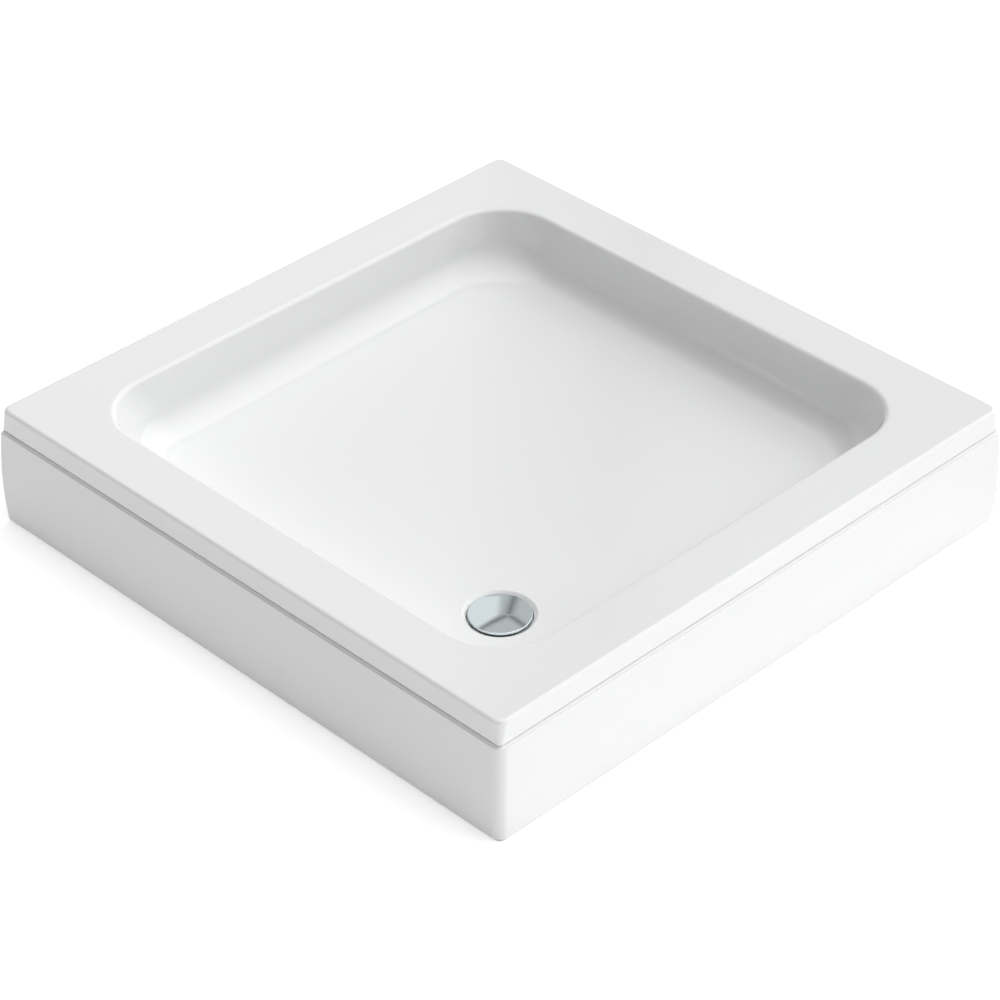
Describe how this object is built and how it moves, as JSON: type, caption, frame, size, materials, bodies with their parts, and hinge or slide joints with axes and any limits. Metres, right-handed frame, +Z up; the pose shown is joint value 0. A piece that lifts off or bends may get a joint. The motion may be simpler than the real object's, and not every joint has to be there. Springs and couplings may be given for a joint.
{
  "type": "shower tray",
  "caption": "Square shower tray with a rounded basin, a corner waste under a round cover, a support frame on adjustable legs, and a bowed pull-off apron on two sides.",
  "frame": {"origin": "middle of the square tray in plan, at floor level, on the underside of the middle leg's rubber pad", "axes": "+Z up; X and Y along the tray's sides; the apron closes the sides at -Y and +X, the sides at -X and +Y stand against walls; the waste is on the diagonal towards +X, -Y"},
  "size_m": [0.9083, 0.9083, 0.1724],
  "materials": {
    "tray_acrylic": "gloss white acrylic sheet",
    "apron_acrylic": "gloss white acrylic sheet",
    "glass_laminate": "glass-fibre laminate",
    "chipboard": "particle board",
    "softwood": "planed softwood",
    "zinc_steel": "zinc-plated sheet steel",
    "screw_steel": "zinc-plated steel",
    "magnet_steel": "steel cup magnet",
    "foot_plastic": "black moulded plastic",
    "pad_rubber": "black rubber",
    "seal_rubber": "black rubber",
    "chrome_plate": "bright chrome plate",
    "trap_plastic": "white moulded plastic",
    "insert_plastic": "grey moulded plastic"
  },
  "bodies": {
    "tray": {"tray_shell": "tray_acrylic", "laminate_backing": "glass_laminate", "base_board": "chipboard", "rail_screws": "screw_steel", "bracket_screws": "screw_steel", "support_rail_front": "zinc_steel", "support_rail_middle": "zinc_steel", "support_rail_back": "zinc_steel", "rim_block_front_1": "softwood", "panel_bracket_front_1": "zinc_steel", "catch_magnet_front_1": "magnet_steel", "rim_block_front_2": "softwood", "panel_bracket_front_2": "zinc_steel", "catch_magnet_front_2": "magnet_steel", "rim_block_side_1": "softwood", "panel_bracket_side_1": "zinc_steel", "catch_magnet_side_1": "magnet_steel", "rim_block_side_2": "softwood", "panel_bracket_side_2": "zinc_steel", "catch_magnet_side_2": "magnet_steel", "waste_flange": "chrome_plate", "upper_seal": "seal_rubber", "lower_seal": "seal_rubber", "trap_body": "trap_plastic", "outlet_nut": "trap_plastic", "outlet_seal": "seal_rubber"},
    "apron": {"apron_panel": "apron_acrylic", "strike_screws": "screw_steel", "apron_batten_front_top": "softwood", "apron_batten_front_bottom": "softwood", "apron_batten_side_top": "softwood", "apron_batten_side_bottom": "softwood", "strike_plate_front_1": "zinc_steel", "strike_plate_front_2": "zinc_steel", "strike_plate_side_1": "zinc_steel", "strike_plate_side_2": "zinc_steel"},
    "leg_back_left": {"leg_rod_back_left": "screw_steel", "leg_foot_back_left": "foot_plastic", "foot_pad_back_left": "pad_rubber"},
    "nuts_back_left": {"leg_nuts_back_left": "screw_steel"},
    "leg_back_right": {"leg_rod_back_right": "screw_steel", "leg_foot_back_right": "foot_plastic", "foot_pad_back_right": "pad_rubber"},
    "nuts_back_right": {"leg_nuts_back_right": "screw_steel"},
    "leg_front_left": {"leg_rod_front_left": "screw_steel", "leg_foot_front_left": "foot_plastic", "foot_pad_front_left": "pad_rubber"},
    "nuts_front_left": {"leg_nuts_front_left": "screw_steel"},
    "leg_front_right": {"leg_rod_front_right": "screw_steel", "leg_foot_front_right": "foot_plastic", "foot_pad_front_right": "pad_rubber"},
    "nuts_front_right": {"leg_nuts_front_right": "screw_steel"},
    "leg_middle": {"leg_rod_middle": "screw_steel", "leg_foot_middle": "foot_plastic", "foot_pad_middle": "pad_rubber"},
    "nuts_middle": {"leg_nuts_middle": "screw_steel"},
    "odour_trap": {"dip_tube": "insert_plastic", "dip_tube_seal": "seal_rubber", "trap_cup": "insert_plastic"},
    "cover": {"waste_cover": "chrome_plate"}
  },
  "joints": [
    {"name": "apron_pull", "type": "slide", "parent": "tray", "child": "apron", "axis": [0.7071, -0.7071, 0], "range_m": [0, 0.15]},
    {"name": "odour_trap_lift", "type": "slide", "parent": "tray", "child": "odour_trap", "axis": [0, 0, 1], "range_m": [0, 0.1]},
    {"name": "cover_lift", "type": "slide", "parent": "odour_trap", "child": "cover", "axis": [0, 0, 1], "range_m": [0, 0.06]},
    {"name": "nuts_back_left_turn", "type": "hinge", "parent": "tray", "child": "nuts_back_left", "pos_m": [-0.27, 0.284, 0.04], "axis": [0, 0, 1], "range_deg": [-2160, 1080]},
    {"name": "leg_back_left_height", "type": "slide", "parent": "tray", "child": "leg_back_left", "axis": [0, 0, 1], "range_m": [-0.009, 0.0045]},
    {"name": "nuts_back_right_turn", "type": "hinge", "parent": "tray", "child": "nuts_back_right", "pos_m": [0.27, 0.284, 0.04], "axis": [0, 0, 1], "range_deg": [-2160, 1080]},
    {"name": "leg_back_right_height", "type": "slide", "parent": "tray", "child": "leg_back_right", "axis": [0, 0, 1], "range_m": [-0.009, 0.0045]},
    {"name": "nuts_front_left_turn", "type": "hinge", "parent": "tray", "child": "nuts_front_left", "pos_m": [-0.27, -0.284, 0.04], "axis": [0, 0, 1], "range_deg": [-2160, 1080]},
    {"name": "leg_front_left_height", "type": "slide", "parent": "tray", "child": "leg_front_left", "axis": [0, 0, 1], "range_m": [-0.009, 0.0045]},
    {"name": "nuts_front_right_turn", "type": "hinge", "parent": "tray", "child": "nuts_front_right", "pos_m": [0.27, -0.284, 0.04], "axis": [0, 0, 1], "range_deg": [-2160, 1080]},
    {"name": "leg_front_right_height", "type": "slide", "parent": "tray", "child": "leg_front_right", "axis": [0, 0, 1], "range_m": [-0.009, 0.0045]},
    {"name": "nuts_middle_turn", "type": "hinge", "parent": "tray", "child": "nuts_middle", "pos_m": [0, 0, 0.04], "axis": [0, 0, 1], "range_deg": [-2160, 1080]},
    {"name": "leg_middle_height", "type": "slide", "parent": "tray", "child": "leg_middle", "axis": [0, 0, 1], "range_m": [-0.009, 0.0045]}
  ],
  "couplings": [
    {"joint": "nuts_back_left_turn", "follows": "leg_back_left_height", "rad_per_m": 4188.8},
    {"joint": "nuts_back_right_turn", "follows": "leg_back_right_height", "rad_per_m": 4188.8},
    {"joint": "nuts_front_left_turn", "follows": "leg_front_left_height", "rad_per_m": 4188.8},
    {"joint": "nuts_front_right_turn", "follows": "leg_front_right_height", "rad_per_m": 4188.8},
    {"joint": "nuts_middle_turn", "follows": "leg_middle_height", "rad_per_m": 4188.8}
  ]
}
